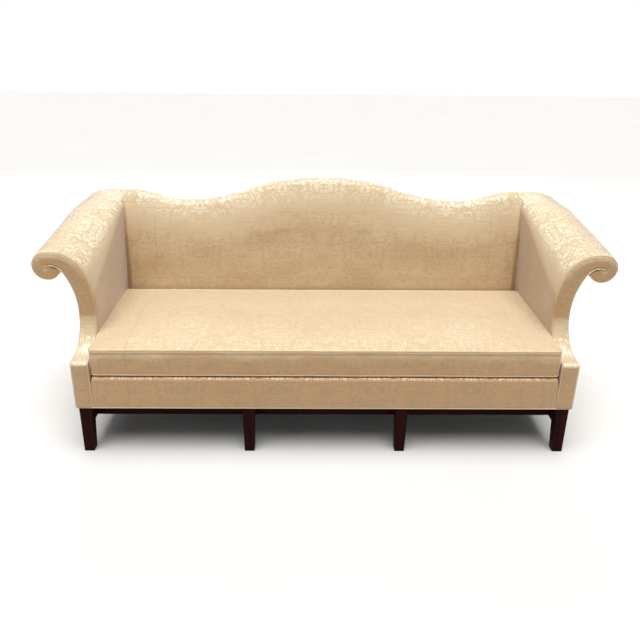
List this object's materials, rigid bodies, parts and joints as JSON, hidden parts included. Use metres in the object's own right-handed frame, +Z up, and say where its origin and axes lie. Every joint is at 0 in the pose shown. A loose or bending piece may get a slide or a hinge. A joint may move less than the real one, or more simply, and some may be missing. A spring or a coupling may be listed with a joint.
{
  "type": "camelback sofa",
  "caption": "Camelback sofa with outward-scrolled arms, a loose seat cushion, cream damask upholstery and square mahogany legs joined by stretchers.",
  "frame": {"origin": "middle of the sofa's overall length and depth, on the floor under the legs", "axes": "+X to the right as seen by someone facing the sofa, +Y from the front to the back, +Z up"},
  "size_m": [2.0746, 0.7494, 0.866],
  "materials": {
    "damask": "cream floral damask, satin figure on a matt ground",
    "damask_piping": "piping covered in the same damask",
    "mahogany": "dark red mahogany stain, satin lacquer",
    "frame_wood": "unfinished hardwood",
    "foam": "cushion and padding filling",
    "hessian": "plain woven jute",
    "deck_cloth": "plain cotton cloth",
    "dust_cloth": "black cambric",
    "webbing": "jute webbing",
    "spring_steel": "bare spring wire and screws",
    "zipper": "woven closure tape"
  },
  "bodies": {
    "sofa": {"front_seat_rail": "frame_wood", "back_seat_rail": "frame_wood", "side_seat_rail_left": "frame_wood", "side_seat_rail_right": "frame_wood", "cross_rails": "frame_wood", "corner_blocks": "frame_wood", "back_post_left": "frame_wood", "back_post_right": "frame_wood", "back_tack_rail": "frame_wood", "back_uprights": "frame_wood", "crest_rail": "frame_wood", "arm_stump_left": "frame_wood", "arm_stump_right": "frame_wood", "arm_board_left": "frame_wood", "arm_board_right": "frame_wood", "frame_dowels": "frame_wood", "front_leg_outer_left": "mahogany", "front_leg_outer_right": "mahogany", "front_leg_inner_left": "mahogany", "front_leg_inner_right": "mahogany", "rear_leg_outer_left": "mahogany", "rear_leg_outer_right": "mahogany", "rear_leg_inner_left": "mahogany", "rear_leg_inner_right": "mahogany", "leg_stretcher_outer_left": "mahogany", "leg_stretcher_outer_right": "mahogany", "leg_stretcher_inner_left": "mahogany", "leg_stretcher_inner_right": "mahogany", "long_stretcher_left": "mahogany", "long_stretcher_middle": "mahogany", "long_stretcher_right": "mahogany", "seat_springs": "spring_steel", "spring_clips": "spring_steel", "frame_screws": "spring_steel", "seat_hessian": "hessian", "seat_deck_pad": "foam", "front_edge_roll": "foam", "back_pad": "foam", "arm_pad_left": "foam", "arm_pad_right": "foam", "seat_deck_cover": "deck_cloth", "dust_cover": "dust_cloth", "back_webbing": "webbing", "arm_piping": "damask_piping", "base_piping": "damask_piping", "front_border": "damask", "inside_back_cover": "damask", "outside_back_cover": "damask", "arm_facing_left": "damask", "arm_facing_right": "damask", "inside_arm_cover_left": "damask", "inside_arm_cover_right": "damask", "outside_arm_cover_left": "damask", "outside_arm_cover_right": "damask"},
    "seat_cushion": {"cushion_core": "foam", "cushion_top_panel": "damask", "cushion_bottom_panel": "damask", "cushion_boxing": "damask", "cushion_piping": "damask_piping", "cushion_zipper": "zipper"}
  },
  "joints": [
    {"name": "cushion_lift", "type": "slide", "parent": "sofa", "child": "seat_cushion", "axis": [0, 0, 1], "range_m": [0, 0.3]}
  ]
}
